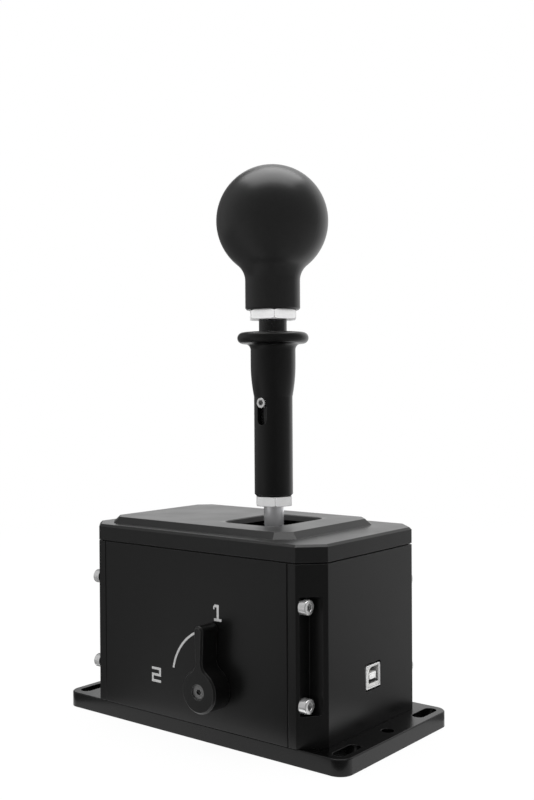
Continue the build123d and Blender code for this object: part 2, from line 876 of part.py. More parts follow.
def reverse_stop():
    """The post that the lock-out ring meets unless the collar is lifted."""
    low = gate_z + gate_thickness
    return rod_z(stop_post_radius, (low, low + stop_post_height), lever_x + stop_post_x, stop_post_y)


def lower_nut():
    z = (tube_bottom - lower_nut_height, tube_bottom)
    return on_lever(nut(lower_nut_flats, z) - rod_z(shaft_radius, (z[0] - overrun, z[1] + overrun)))


def upper_nut():
    z = (knob_bottom - upper_nut_height, knob_bottom)
    return on_lever(nut(upper_nut_flats, z) - rod_z(tube_radius + fit_gap, (z[0] - overrun, z[1] + overrun)))


def nut(flats, z):
    """A hexagon whose corners are turned down to a cone at both ends."""
    corner = flats / sqrt(3)
    ring = flats / 2 * nut_bevel_share
    drop = (corner - ring) * tan(radians(nut_bevel_angle))
    low = [(0, z[0]), (ring, z[0]), (corner, z[0] + drop)]
    high = [(corner, z[1] - drop), (ring, z[1]), (0, z[1])]
    return hexagon(flats, z, nut_turn) & turned(low + high)


def extension_tube():
    """The black tube above the shaft. The sleeve slides on it and the knob screws onto it."""
    tube = rod_z(tube_radius, (tube_bottom, tube_top))
    tube -= rod_z(shaft_radius, (tube_bottom - overrun, shaft_top))
    tube -= rod_z(tube_chamber_radius, (shaft_top - overrun, tube_chamber_top))
    w = cross_pin_radius + free_gap
    out = (0, tube_radius + overrun)
    slot = block((-w, w), out, (upper_pin_z, upper_pin_z + collar_lift))
    for z in (upper_pin_z, upper_pin_z + collar_lift):
        slot += rod_y(w, out, 0, z)
    tube -= slot
    depth = (-tube_radius - overrun, -sleeve_radius - guide_screw_proud + guide_screw_depth)
    return on_lever(tube - rod_y(guide_screw_radius, depth, 0, guide_screw_z))


def guide_screw():
    """The grub screw that stands in the sleeve's slot."""
    outer = -sleeve_radius - guide_screw_proud
    screw = rod_y(guide_screw_radius - fit_gap, (outer, outer + guide_screw_depth), 0, guide_screw_z)
    place = Pos(0, outer + guide_socket_depth, guide_screw_z) * Rot(90, 0, 0)
    return on_lever(screw - place * hexagon(guide_socket, (0, guide_socket_depth + overrun)))


def lockout_sleeve():
    """The collar that is lifted for reverse: a flanged sleeve with a long slot for the guide screw."""
    r, upper = sleeve_radius, sleeve_upper_radius
    rim = flange_thickness / 2
    under = flange_top - flange_thickness
    flare = sleeve_flare_radius
    rise = sleeve_taper_end_z - sleeve_crease_z
    spread = upper - r
    curve = (rise**2 + spread**2) / (2 * spread)
    sweep_angle = degrees(atan2(rise, curve - spread))
    bore = tube_radius + running_gap
    outline = [
        Polyline(
            (bore, sleeve_bottom),
            (r - sleeve_bottom_bevel, sleeve_bottom),
            (r, sleeve_bottom + sleeve_bottom_bevel),
            (r, sleeve_crease_z),
        ),
        CenterArc((upper - curve, sleeve_taper_end_z), curve, -sweep_angle, sweep_angle),
        Line((upper, sleeve_taper_end_z), (upper, under - flare)),
        CenterArc((upper + flare, under - flare), flare, 180, -90),
        Line((upper + flare, under), (flange_radius - rim, under)),
        CenterArc((flange_radius - rim, under + rim), rim, -90, 180),
        Polyline(
            (flange_radius - rim, flange_top),
            (sleeve_spring_bore, flange_top),
            (sleeve_spring_bore, sleeve_spring_seat),
            (bore, sleeve_spring_seat),
            (bore, sleeve_bottom),
        ),
    ]
    sleeve = revolve(Plane.XZ * make_face(Wire(Curve() + outline)), axis=Axis.Z)
    half = sleeve_slot_width / 2
    high = guide_screw_z + guide_screw_radius + free_gap - half
    low = sleeve_slot_low + half
    out = (-upper - overrun, 0)
    slot = block((-half, half), out, (low, high)) + rod_y(half, out, 0, low) + rod_y(half, out, 0, high)
    sleeve -= slot
    return on_lever(sleeve - rod_y(cross_pin_radius, (0, r + overrun), 0, upper_pin_z))


def lockout_rod():
    rod = rod_z(rod_radius, (rod_bottom, rod_top))
    for z in (upper_pin_z, lower_pin_z):
        rod -= rod_y(cross_pin_radius, (-rod_radius - overrun, rod_radius + overrun), 0, z)
    return on_lever(rod)


def lockout_pins():
    """The cross pins: one joins the rod to the sleeve and one joins it to the ring."""
    upper = rod_y(cross_pin_radius - fit_gap, (-rod_radius, sleeve_radius), 0, upper_pin_z)
    lower = rod_y(cross_pin_radius - fit_gap, (-ring_radius, ring_radius), 0, lower_pin_z)
    return [on_lever(upper), on_lever(lower)]


def lockout_ring():
    """The ring on the hub's tail that meets the reverse stop."""
    z = (lower_pin_z - ring_height / 2, lower_pin_z + ring_height / 2)
    ring = rod_z(ring_radius, z)
    ring = chamfer(ring.edges(), ring_bevel)
    ring -= rod_z(tail_radius + running_gap, (z[0] - overrun, z[1] + overrun))
    across = (-ring_radius - overrun, ring_radius + overrun)
    return on_lever(ring - rod_y(cross_pin_radius, across, 0, lower_pin_z))


def spring_retainer():
    z = (retainer_z, retainer_z + retainer_thickness)
    bore = rod_z(tube_radius + fit_gap, (z[0] - overrun, z[1] + overrun))
    return on_lever(rod_z(retainer_radius, z) - bore)


def collar_spring():
    length = retainer_z - sleeve_spring_seat
    spring = coil(collar_wire, collar_coil_radius, collar_turns, length)
    return on_lever(Pos(0, 0, sleeve_spring_seat) * spring)


def knob():
    """The ball knob: a sphere that runs into its neck in a hollow curve."""
    blend = knob_blend_radius
    side = knob_neck_radius + blend
    drop = sqrt((knob_radius + blend) ** 2 - side**2)
    centre = (side, knob_centre_z - drop)
    angle = degrees(atan2(drop, -side))
    ball_angle = degrees(atan2(-drop, side))
    outline = [
        Polyline(
            (0, knob_bottom),
            (knob_neck_radius - knob_edge, knob_bottom),
            (knob_neck_radius, knob_bottom + knob_edge),
            (knob_neck_radius, centre[1]),
        ),
        CenterArc(centre, blend, 180, angle - 180),
        CenterArc((0, knob_centre_z), knob_radius, ball_angle, 90 - ball_angle),
        Line((0, knob_centre_z + knob_radius), (0, knob_bottom)),
    ]
    ball = revolve(Plane.XZ * make_face(Wire(Curve() + outline)), axis=Axis.Z)
    return on_lever(ball - rod_z(insert_radius, (knob_bottom - overrun, insert_top)))


def knob_insert():
    z = (knob_bottom, insert_top)
    bore = (knob_bottom - overrun, tube_top + free_gap)
    return on_lever(rod_z(insert_radius - fit_gap, z) - rod_z(tube_radius + fit_gap, bore))


def mode_lever():
    """The flat lever on the wide face: a round hub, a waisted neck and a rounded tip."""
    neck = mode_neck_half
    waist = mode_waist_radius
    hub = mode_hub_radius
    top = mode_tip_reach - mode_tip_radius
    level = sqrt((hub + waist) ** 2 - (neck + waist) ** 2)
    meet = (hub * (neck + waist) / (hub + waist), hub * level / (hub + waist))
    angle = degrees(atan2(level, neck + waist))
    outline = [
        CenterArc((neck + waist, level), waist, 180 + angle, -angle),
        Line((neck, level), (mode_tip_radius, top)),
        CenterArc((0, top), mode_tip_radius, 0, 180),
        Line((-mode_tip_radius, top), (-neck, level)),
        CenterArc((-neck - waist, level), waist, 0, -angle),
        Line((-meet[0], meet[1]), meet),
    ]
    face = make_face(Wire(Curve() + outline)) + Circle(mode_hub_radius)
    thickness = mode_lever_proud - mode_lever_gap
    lever = extrude(Plane.XZ * face, amount=thickness)
    lever = chamfer(lever.faces().sort_by(Axis.Y)[0].edges(), mode_edge)
    front = -half_width - mode_lever_proud
    lever = Pos(lever_x, -half_width - mode_lever_gap, mode_z) * lever
    lever -= rod_y(mode_recess_radius, (front - overrun, front + mode_recess_depth), lever_x, mode_z)
    head = (front + mode_recess_depth - overrun, front + mode_recess_depth + mode_screw_head_height)
    lever -= rod_y(mode_screw_head_radius + fit_gap, head, lever_x, mode_z)
    lever -= rod_y(mode_screw_shank, (head[1] - overrun, mode_shaft_end() + overrun), lever_x, mode_z)
    return lever - rod_y(mode_shaft_radius, (mode_shaft_end(), -half_width + overrun), lever_x, mode_z)


def mode_shaft_end():
    """Where the mode shaft ends inside the lever."""
    return -half_width - mode_lever_gap - (mode_lever_proud - mode_lever_gap) / 2


def mode_lever_screw():
    front = -half_width - mode_lever_proud + mode_recess_depth
    head = rod_y(mode_screw_head_radius, (front, front + mode_screw_head_height), lever_x, mode_z)
    shank = (front + mode_screw_head_height - fit_gap, mode_lever_screw_end())
    screw = head + rod_y(mode_screw_shank - fit_gap, shank, lever_x, mode_z)
    place = Pos(lever_x, front + mode_socket_depth, mode_z) * Rot(90, 0, 0)
    return screw - place * hexagon(mode_socket, (0, mode_socket_depth + overrun))


def crank_back():
    """The inner face of the mode shaft's crank disc."""
    return -side_inner_y + mode_bush_flange + wave_washer_thickness + crank_disc_thickness


def slider_back():
    """The outer face of the mode slider, which the crank disc runs beside."""
    return crank_back() + free_gap


def mode_shaft():
    """The shaft that the mode lever turns, with a crank disc and pin at its inner end."""
    disc = (crank_back() - crank_disc_thickness, crank_back())
    shaft = rod_y(mode_shaft_radius - fit_gap, (mode_shaft_end(), disc[1]), lever_x, mode_z)
    shaft += rod_y(crank_disc_radius, disc, lever_x, mode_z)
    arm = mode_travel / 2
    reach = slider_back() + slider_thickness
    shaft += rod_y(crank_pin_radius, (disc[1] - free_gap, reach), lever_x - arm, mode_z - arm)
    thread = (mode_shaft_end() - overrun, mode_lever_screw_end() + free_gap)
    return shaft - rod_y(mode_screw_shank, thread, lever_x, mode_z)


def mode_lever_screw_end():
    front = -half_width - mode_lever_proud + mode_recess_depth
    return front + mode_screw_head_height + mode_screw_length


def mode_bush():
    """The flanged bush that carries the mode shaft in the side plate."""
    bush = rod_y(mode_bush_radius - fit_gap, (-half_width, -side_inner_y), lever_x, mode_z)
    bush += rod_y(mode_bush_flange_radius, (-side_inner_y, -side_inner_y + mode_bush_flange), lever_x, mode_z)
    bore = (-half_width - overrun, -side_inner_y + mode_bush_flange + overrun)
    return bush - rod_y(mode_shaft_radius + running_gap, bore, lever_x, mode_z)


def wave_washer():
    """The washer whose drag holds the mode lever where it is put."""
    low = -side_inner_y + mode_bush_flange
    washer = rod_y(crank_disc_radius, (low, low + wave_washer_thickness - running_gap), lever_x, mode_z)
    bore = (low - overrun, low + overrun)
    return washer - rod_y(mode_shaft_radius + free_gap, bore, lever_x, mode_z)


def mode_slider():
    """A folded steel slide: the crank moves it along X and its arm carries the lock pin."""
    y = (slider_back(), slider_back() + slider_thickness)
    slide = block((-slider_arm_x, slider_front), y, (slider_low, slider_high))
    arm = (-slider_arm_x, -slider_arm_x + slider_thickness)
    slide += block(arm, (y[0], slider_arm_reach), (slider_arm_low, slider_arm_high))
    slide -= rod_x(lock_pin_tail_radius + running_gap, (arm[0] - overrun, arm[1] + overrun), 0, lock_pin_z)
    half = crank_pin_radius + crank_clearance
    out = (y[0] - overrun, y[1] + overrun)
    arm_x = mode_travel / 2
    crank_z = (mode_z - arm_x * sqrt(2), mode_z - arm_x)
    slot = block((-arm_x - half, -arm_x + half), out, crank_z)
    for z in crank_z:
        slot += rod_y(half, out, -arm_x, z)
    slide -= slot
    half = guide_pin_radius + running_gap
    for x in (guide_pin_front, -guide_pin_rear):
        slot = block((x - mode_travel, x), out, (guide_pin_z - half, guide_pin_z + half))
        for end in (x - mode_travel, x):
            slot += rod_y(half, out, end, guide_pin_z)
        slide -= slot
    return on_lever(slide)


def guide_pins():
    """Shoulder screws in the side plate that guide the slider."""
    y = slider_back() + slider_thickness + running_gap
    pins = []
    for x in (lever_x + guide_pin_front, lever_x - guide_pin_rear):
        pin = rod_y(guide_pin_radius, (-side_inner_y, y), x, guide_pin_z)
        pin += rod_y(guide_pin_head_radius, (y, y + guide_pin_head), x, guide_pin_z)
        pin += rod_y(m3_shank - fit_gap, (-side_inner_y - guide_pin_thread, -side_inner_y), x, guide_pin_z)
        pins.append(pin)
    return pins


def lock_pin():
    """The sprung pin that enters the cradle's tongue and stops its sideways tilt."""
    tip = cradle_half_length + lock_pin_gap
    flange = (-lock_pin_flange_x - lock_pin_flange, -lock_pin_flange_x)
    pin = rod_x(lock_pin_radius, (flange[1], -tip), 0, lock_pin_z)
    pin += rod_x(lock_pin_flange_radius, flange, 0, lock_pin_z)
    pin += rod_x(lock_pin_tail_radius, (-lock_pin_tail_end, flange[0]), 0, lock_pin_z)
    clip = -slider_arm_x - running_gap
    pin += rod_x(lock_pin_clip_radius, (clip - lock_pin_clip, clip), 0, lock_pin_z)
    return on_lever(pin)


def lock_spring():
    length = slider_arm_x - slider_thickness - lock_pin_flange_x - lock_pin_flange - spring_end_gap
    spring = coil(lock_wire, lock_coil_radius, lock_turns, length)
    return on_lever(Pos(-slider_arm_x + slider_thickness, 0, lock_pin_z) * Rot(0, 90, 0) * spring)


def board_top():
    return plate_thickness + sensor_spacer_height + board_thickness


def sensor_board():
    low = plate_thickness + sensor_spacer_height
    x = (lever_x - sensor_board_rear, lever_x + sensor_board_front)
    board = block(x, (-sensor_board_half_width, sensor_board_half_width), (low, board_top()))
    for sx, sy in sensor_screw_places():
        board -= rod_z(m2_shank + fit_gap, (low - overrun, board_top() + overrun), sx, sy)
    return board


def sensor_spacers():
    z = (plate_thickness, plate_thickness + sensor_spacer_height)
    ring = rod_z(sensor_spacer_radius, z) - rod_z(m2_shank + fit_gap, (z[0] - overrun, z[1] + overrun))
    return [Pos(x, y, 0) * ring for x, y in sensor_screw_places()]


def sensor_screws():
    return [Pos(x, y, board_top()) * m2_screw() for x, y in sensor_screw_places()]


def sensor_parts():
    """The magnetic sensor below the pin and the connector for the lead."""
    z = board_top()
    x = (lever_x - sensor_length / 2, lever_x + sensor_length / 2)
    chip = block(x, (-sensor_width / 2, sensor_width / 2), (z, z + sensor_height))
    x1 = lever_x + sensor_board_front - running_gap
    plug = block((x1 - plug_length, x1), (-plug_half_width, plug_half_width), (z, z + plug_height))
    return [chip, plug]


def lead_z():
    return board_top() + plug_height / 2


def main_x():
    """The two faces of the main board, which stands in the end cap's pocket."""
    face = pocket_x - main_board_gap
    return face - board_thickness, face


def main_screw_places():
    y = main_board_half_width - main_screw_inset
    return [
        (side * y, z)
        for side in (-1, 1)
        for z in (main_board_low + main_screw_inset, main_board_high - main_screw_inset)
    ]


def main_board():
    half = main_board_half_width
    board = block(main_x(), (-half, half), (main_board_low, main_board_high))
    for y, z in main_screw_places():
        board -= rod_x(m3_shank + fit_gap, (main_x()[0] - overrun, main_x()[1] + overrun), y, z)
    return board


def main_standoffs():
    x = (main_x()[1], pocket_x)
    posts = []
    for y, z in main_screw_places():
        post = rod_x(m3_head_radius, x, y, z)
        posts.append(post - rod_x(m3_shank + fit_gap, (x[0] - overrun, x[1] + overrun), y, z))
    return posts


def main_screws():
    length = board_thickness + main_board_gap + m3_length / 2 - free_gap
    return [Pos(main_x()[0], y, z) * Rot(0, -90, 0) * m3_screw(length) for y, z in main_screw_places()]


def main_parts():
    """The controller chip, the crystal and the lead's connector on the main board."""
    x = main_x()[0]
    half = chip_size / 2
    chip = block((x - chip_height, x), (-half, half), (chip_z - half, chip_z + half))
    side = half + crystal_gap
    can = block(
        (x - crystal_height, x),
        (side, side + crystal_length / 2),
        (chip_z - crystal_length / 2, chip_z + crystal_length / 2),
    )
    plug = block(
        (x - plug_height, x),
        (-plug_half_width, plug_half_width),
        (lead_z() - plug_length / 2, lead_z() + plug_length / 2),
    )
    return [chip, can, plug]


def usb_socket():
    """The square data socket: bevelled upper corners and a tongue in its mouth."""
    x = (main_x()[1], half_length + socket_proud)
    w, h, cut = socket_width / 2, socket_height / 2, socket_bevel
    points = [(-w, -h), (w, -h), (w, h - cut), (w - cut, h), (-w + cut, h), (-w, h - cut)]
    outer = make_face(Polyline(*points, close=True))
    shell = Pos(x[0], 0, socket_z) * extrude(Plane.YZ * outer, amount=x[1] - x[0])
    w, h, cut = w - socket_wall, h - socket_wall, socket_mouth_bevel
    points = [(-w, -h), (w, -h), (w, h - cut), (w - cut, h), (-w + cut, h), (-w, h - cut)]
    mouth = extrude(Plane.YZ * make_face(Polyline(*points, close=True)), amount=socket_depth + overrun)
    shell -= Pos(x[1] - socket_depth, 0, socket_z) * mouth
    half = socket_tongue_width / 2
    tall = socket_tongue_height / 2
    shell += block(
        (x[1] - socket_depth, x[1] - socket_tongue_short), (-half, half), (socket_z - tall, socket_z + tall)
    )
    return shell


def sensor_lead():
    """The lead from the sensor board, through the pedestal's hole, to the main board."""
    x = (lever_x + sensor_board_front - running_gap, main_x()[0] - plug_height)
    return rod_x(lead_radius, x, 0, lead_z())


nodes = {
    "base_plate": base_plate,
    "front_end_cap": lambda: end_cap(1),
    "rear_end_cap": lambda: end_cap(-1),
    "lever_side_plate": lambda: side_plate(-1),
    "plain_side_plate": lambda: side_plate(1),
    "top_cover": top_cover,
    "housing_screws": housing_screws,
    "base_screws": base_screws,
    "cover_screws": cover_screws,
    "front_pedestal": lambda: pedestal(1),
    "rear_pedestal": lambda: pedestal(-1),
    "select_bearings": select_bearings,
    "spring_seats": spring_seats,
    "centring_springs": centring_springs,
    "gate_plate": gate_plate,
    "gate_standoffs": gate_standoffs,
    "gate_screws": gate_screws,
    "reverse_stop": reverse_stop,
    "sensor_board": sensor_board,
    "sensor_spacers": sensor_spacers,
    "sensor_screws": sensor_screws,
    "sensor_parts": sensor_parts,
    "main_board": main_board,
    "main_standoffs": main_standoffs,
    "main_screws": main_screws,
    "main_parts": main_parts,
    "usb_socket": usb_socket,
    "sensor_lead": sensor_lead,
    "mode_bush": mode_bush,
    "slider_guide_screws": guide_pins,
    "cradle": cradle,
    "select_axles": select_axles,
    "shift_bearings": shift_bearings,
    "detent_spring": detent_spring,
    "detent_screw": detent_screw,
    "shift_hub": shift_hub,
    "shift_axles": shift_axles,
    "shift_shaft": shift_shaft,
    "lower_nut": lower_nut,
    "extension_tube": extension_tube,
    "upper_nut": upper_nut,
    "knob": knob,
    "knob_insert": knob_insert,
    "sleeve_guide_screw": guide_screw,
    "spring_retainer": spring_retainer,
    "collar_spring": collar_spring,
    "gate_pin": gate_pin,
    "tip_magnet": tip_magnet,
    "lockout_sleeve": lockout_sleeve,
    "lockout_rod": lockout_rod,
    "lockout_pins": lockout_pins,
    "lockout_ring": lockout_ring,
    "mode_lever": mode_lever,
    "mode_lever_screw": mode_lever_screw,
    "mode_shaft": mode_shaft,
    "wave_washer": wave_washer,
    "mode_slider": mode_slider,
    "lock_pin": lock_pin,
    "lock_pin_spring": lock_spring,
}

os.makedirs("parts", exist_ok=True)
for name, make in nodes.items():
    made = make()
    solids = [s for piece in (made if isinstance(made, list) else [made]) for s in piece.solids()]
    shape = solids[0] if len(solids) == 1 else Compound(children=solids)
    shape.label = name
    export_step(shape, f"parts/{name}.step")
print(len(nodes), "nodes")
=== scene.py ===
from math import atan2, pi, radians

import bpy
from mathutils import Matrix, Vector


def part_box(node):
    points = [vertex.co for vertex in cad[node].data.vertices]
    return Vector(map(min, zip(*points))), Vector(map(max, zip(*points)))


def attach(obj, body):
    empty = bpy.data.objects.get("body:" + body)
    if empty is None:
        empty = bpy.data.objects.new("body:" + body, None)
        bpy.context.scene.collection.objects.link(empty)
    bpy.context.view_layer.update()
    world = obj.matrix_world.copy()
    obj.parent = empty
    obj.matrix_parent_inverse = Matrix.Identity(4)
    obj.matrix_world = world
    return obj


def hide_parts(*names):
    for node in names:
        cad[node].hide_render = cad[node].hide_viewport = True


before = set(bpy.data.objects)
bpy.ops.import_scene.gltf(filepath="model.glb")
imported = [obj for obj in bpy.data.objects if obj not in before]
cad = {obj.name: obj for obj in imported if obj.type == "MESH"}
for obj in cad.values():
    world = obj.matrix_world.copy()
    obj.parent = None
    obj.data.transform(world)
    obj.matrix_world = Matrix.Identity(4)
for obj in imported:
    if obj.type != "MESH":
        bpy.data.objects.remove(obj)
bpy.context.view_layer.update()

scene = bpy.context.scene

# Studio
# The shifter stands on a pale floor in a white surround, as in a light tent. One grey cloth hangs in front of
# it and another lies on the floor there, so that its black faces reflect grey; one softbox hangs overhead.
scene.view_settings.view_transform = "Standard"


def srgb(code, share=1.0):
    """A colour written as in a paint chart, in the linear values that the shaders take."""
    parts = [int(code[i:i + 2], 16) / 255 for i in (0, 2, 4)]
    linear = [p / 12.92 if p <= 0.04045 else ((p + 0.055) / 1.055) ** 2.4 for p in parts]
    return tuple(share * p for p in linear) + (1.0,)


def add_node(tree, kind, settings, links):
    """Adds one node. A setting is a socket's value or a property, and a link names its socket and source."""
    node = tree.nodes.new(kind)
    for name, value in settings.items():
        if isinstance(name, int) or name in node.inputs:
            node.inputs[name].default_value = value
        else:
            setattr(node, name, value)
    for name, source in links.items():
        tree.links.new(source, node.inputs[name])
    return node


def new_material(name, bare=False):
    """A new material, its nodes, and the place on the piece in metres. A bare one has no shader yet."""
    material = bpy.data.materials.new(name)
    material.use_nodes = True
    tree = material.node_tree
    if bare:
        tree.nodes.clear()
    place = add_node(tree, "ShaderNodeTexCoord", {}, {}).outputs["Object"]
    return material, tree, place


def pick(piece, kind, test):
    """Leaves the piece in edit mode, with just the edges or faces selected whose place and direction pass."""
    bpy.ops.object.mode_set(mode="OBJECT")
    mesh = piece.data
    for group in (mesh.vertices, mesh.edges, mesh.polygons):
        for item in group:
            item.select = False
    bpy.context.tool_settings.mesh_select_mode = (False, kind == "EDGE", kind == "FACE")
    if kind == "FACE":
        for face in mesh.polygons:
            face.select = test(face.center, face.normal)
    else:
        for edge in mesh.edges:
            start, end = (mesh.vertices[i].co for i in edge.vertices)
            edge.select = test((start + end) / 2, (end - start).normalized())
    bpy.ops.object.mode_set(mode="EDIT")


# The camera's place, turn and lens were fitted to the box, the opening and the shaft in the photograph. The
# angle is the way from the shifter towards the camera, and the cloths' degrees count from it.
camera_data = bpy.data.cameras.new("camera")
camera = bpy.data.objects.new("camera", camera_data)
scene.collection.objects.link(camera)
camera.location = (0.33328, -0.40713, 0.16303)
camera.rotation_euler = (radians(89.465), radians(0.349), radians(38.384))
camera_data.sensor_width = 36
camera_data.lens = 47.136
camera_data.clip_start = 0.01
scene.camera = camera
camera_angle = atan2(-0.78, 0.62)

# The surround is white to the camera and in reflections, and lights matt surfaces a little less.
surround_light = 0.85
world = bpy.data.worlds.new("white surround")
scene.world = world
world.use_nodes = True
tree = world.node_tree
tree.nodes.clear()
rays = add_node(tree, "ShaderNodeLightPath", {}, {})
seen = add_node(tree, "ShaderNodeMath", {"operation": "MAXIMUM"}, {
    0: rays.outputs["Is Camera Ray"], 1: rays.outputs["Is Glossy Ray"]})
seen = add_node(tree, "ShaderNodeMath", {"operation": "MAXIMUM"}, {
    0: seen.outputs[0], 1: rays.outputs["Is Transmission Ray"]})
strength = add_node(tree, "ShaderNodeMapRange", {"To Min": surround_light, "To Max": 1.0}, {
    "Value": seen.outputs[0]})
surround = add_node(tree, "ShaderNodeBackground", {"Color": (1, 1, 1, 1)}, {
    "Strength": strength.outputs["Result"]})
add_node(tree, "ShaderNodeOutputWorld", {}, {"Surface": surround.outputs[0]})

# To the camera and in reflections the floor glows white, but near the shifter a twentieth of it is matt paint
# that takes the shadow. To all other light it is matt paint all over.
floor_size = 12
shadow_radius, white_radius = 0.2, 0.8
near_glow = 0.95
bpy.ops.object.select_all(action="DESELECT")
bpy.ops.mesh.primitive_plane_add(size=floor_size)
floor = bpy.context.object
floor.name = "floor"
floor_paint, tree, place = new_material("floor_paint", bare=True)
rays = add_node(tree, "ShaderNodeLightPath", {}, {})
seen = add_node(tree, "ShaderNodeMath", {"operation": "MAXIMUM"}, {
    0: rays.outputs["Is Camera Ray"], 1: rays.outputs["Is Glossy Ray"]})
away = add_node(tree, "ShaderNodeVectorMath", {"operation": "LENGTH"}, {0: place})
fade = add_node(tree, "ShaderNodeMapRange", {
    "From Min": shadow_radius, "From Max": white_radius, "To Min": near_glow, "To Max": 1.0}, {
    "Value": away.outputs["Value"]})
share = add_node(tree, "ShaderNodeMath", {"operation": "MULTIPLY"}, {
    0: seen.outputs[0], 1: fade.outputs["Result"]})
matt = add_node(tree, "ShaderNodeBsdfDiffuse", {"Color": srgb("f4f4f4")}, {})
glow = add_node(tree, "ShaderNodeEmission", {"Color": (1, 1, 1, 1), "Strength": 1.0}, {})
blended = add_node(tree, "ShaderNodeMixShader", {}, {
    0: share.outputs[0], 1: matt.outputs[0], 2: glow.outputs[0]})
add_node(tree, "ShaderNodeOutputMaterial", {}, {"Surface": blended.outputs[0]})
floor.data.materials.append(floor_paint)


def grey_cloth(name, tones):
    """Cloth lit unevenly round the camera: pairs of degrees to the camera's right and brightness."""
    material, tree, place = new_material(name, bare=True)
    turned = add_node(tree, "ShaderNodeMapping", {"Rotation": (0, 0, -camera_angle)}, {"Vector": place})
    across = add_node(tree, "ShaderNodeSeparateXYZ", {}, {0: turned.outputs[0]})
    turn = add_node(tree, "ShaderNodeMath", {"operation": "ARCTAN2"}, {
        0: across.outputs[1], 1: across.outputs[0]})
    share = add_node(tree, "ShaderNodeMapRange", {"From Min": -pi, "From Max": pi}, {
        "Value": turn.outputs[0]})
    ramp = add_node(tree, "ShaderNodeValToRGB", {}, {"Fac": share.outputs["Result"]})
    stops = ramp.color_ramp.elements
    for degrees, brightness in tones:
        stops.new((degrees + 180) / 360).color = (brightness, brightness, brightness, 1)
    stops.remove(stops[-1])
    stops.remove(stops[0])
    glow = add_node(tree, "ShaderNodeEmission", {"Strength": 1.0}, {"Color": ramp.outputs["Color"]})
    add_node(tree, "ShaderNodeOutputMaterial", {}, {"Surface": glow.outputs[0]})
    return material


# The laid cloth is a ring just over the floor. Its hole round the shifter is given in shares of its radius.
cloth_radius = 1.8
cloth_top = 1.72
cloth_left, hung_right, laid_right = -165, 117, 122
laid_height = 0.0004
laid_hole = (0.066, 0.041, 1)
hung_tones = (
    (-170, 0.18), (-134, 0.25), (-118, 0.45), (-94, 0.5), (-60, 0.3), (-30, 0.17), (0, 0.14), (30, 0.16),
    (60, 0.22), (95, 0.33), (112, 0.5))
laid_tones = (
    (-170, 0.2), (-100, 0.22), (-87, 0.27), (-74, 0.5), (-60, 0.42), (-30, 0.2), (0, 0.12), (60, 0.28),
    (90, 0.46), (103, 0.55), (122, 0.64))


def left_white(centre, right):
    """Whether a place has no cloth: at the far side of the shifter, nearly overhead or under the floor."""
    turn = (atan2(centre.y, centre.x) - camera_angle + pi) % (2 * pi) - pi
    return not radians(cloth_left) < turn < radians(right) or centre.z < 0 or centre.z > cloth_top


bpy.ops.object.select_all(action="DESELECT")
bpy.ops.mesh.primitive_uv_sphere_add(segments=96, ring_count=48, radius=cloth_radius)
hung_cloth = bpy.context.object
hung_cloth.name = "hung_cloth"
pick(hung_cloth, "FACE", lambda centre, normal: left_white(centre, hung_right))
bpy.ops.mesh.delete(type="FACE")
bpy.ops.object.mode_set(mode="OBJECT")

bpy.ops.object.select_all(action="DESELECT")
bpy.ops.mesh.primitive_circle_add(
    vertices=96, radius=cloth_radius, fill_type="NOTHING", location=(0, 0, laid_height))
bpy.ops.object.transform_apply(location=True)
laid_cloth = bpy.context.object
laid_cloth.name = "floor_cloth"
bpy.ops.object.mode_set(mode="EDIT")
bpy.ops.mesh.select_all(action="SELECT")
bpy.ops.mesh.extrude_edges_move()
bpy.ops.transform.resize(value=laid_hole)
pick(laid_cloth, "FACE", lambda centre, normal: left_white(centre, laid_right))
bpy.ops.mesh.delete(type="FACE")
bpy.ops.object.mode_set(mode="OBJECT")

hung_cloth.data.materials.append(grey_cloth("hung_grey_cloth", hung_tones))
laid_cloth.data.materials.append(grey_cloth("laid_grey_cloth", laid_tones))
for cloth in (hung_cloth, laid_cloth):
    cloth.visible_camera = False
    cloth.visible_diffuse = False
    cloth.visible_shadow = False
    cloth.visible_transmission = False

softbox_place = Vector((-0.11, 0.16, 1.35))
softbox_aim = Vector((0.02, 0, 0.1))
softbox_data = bpy.data.lights.new("overhead_softbox", "AREA")
softbox_data.shape = "RECTANGLE"
softbox_data.size, softbox_data.size_y = 1.4, 1.1
softbox_data.energy = 17
softbox = bpy.data.objects.new("overhead_softbox", softbox_data)
scene.collection.objects.link(softbox)
softbox.location = softbox_place
softbox.rotation_euler = (softbox_aim - softbox_place).to_track_quat("-Z", "Y").to_euler()


# Base plate and box
# Aluminium, blasted with fine grit and anodised black: a base plate milled from bar, two end caps, two side
# plates and the cover, screwed together. It looks near black, with a soft satin gloss and thin pale edges,
# which are partly dye that wears thin and partly a painted highlight.
def edge_wear_and_shading(tree, samples, flat, bent):
    """The normal that rounds edges off over 0.4 mm, and the share of the edge tone there, which is painted
    light and shade, and on dyed pieces also dye that wears thin: none where the cosine of its turn from the
    face is flat, all of it at bent."""
    edge = add_node(tree, "ShaderNodeBevel", {"samples": samples, "Radius": 0.0004}, {})
    face = add_node(tree, "ShaderNodeNewGeometry", {}, {})
    turned = add_node(tree, "ShaderNodeVectorMath", {"operation": "DOT_PRODUCT"}, {
        0: edge.outputs[0], 1: face.outputs["Normal"]})
    edge_share = add_node(tree, "ShaderNodeMapRange", {"From Min": flat, "From Max": bent}, {
        "Value": turned.outputs["Value"]})
    return edge.outputs[0], edge_share.outputs["Result"]


def finish_surface(tree, colour, rough, normal, **even):
    """Links a finish's colour, roughness and normal to the shader, and sets what is even all over."""
    shader = tree.nodes["Principled BSDF"]
    for name, value in even.items():
        shader.inputs[name].default_value = value
    tree.links.new(colour, shader.inputs["Base Color"])
    tree.links.new(rough, shader.inputs["Roughness"])
    tree.links.new(normal, shader.inputs["Normal"])


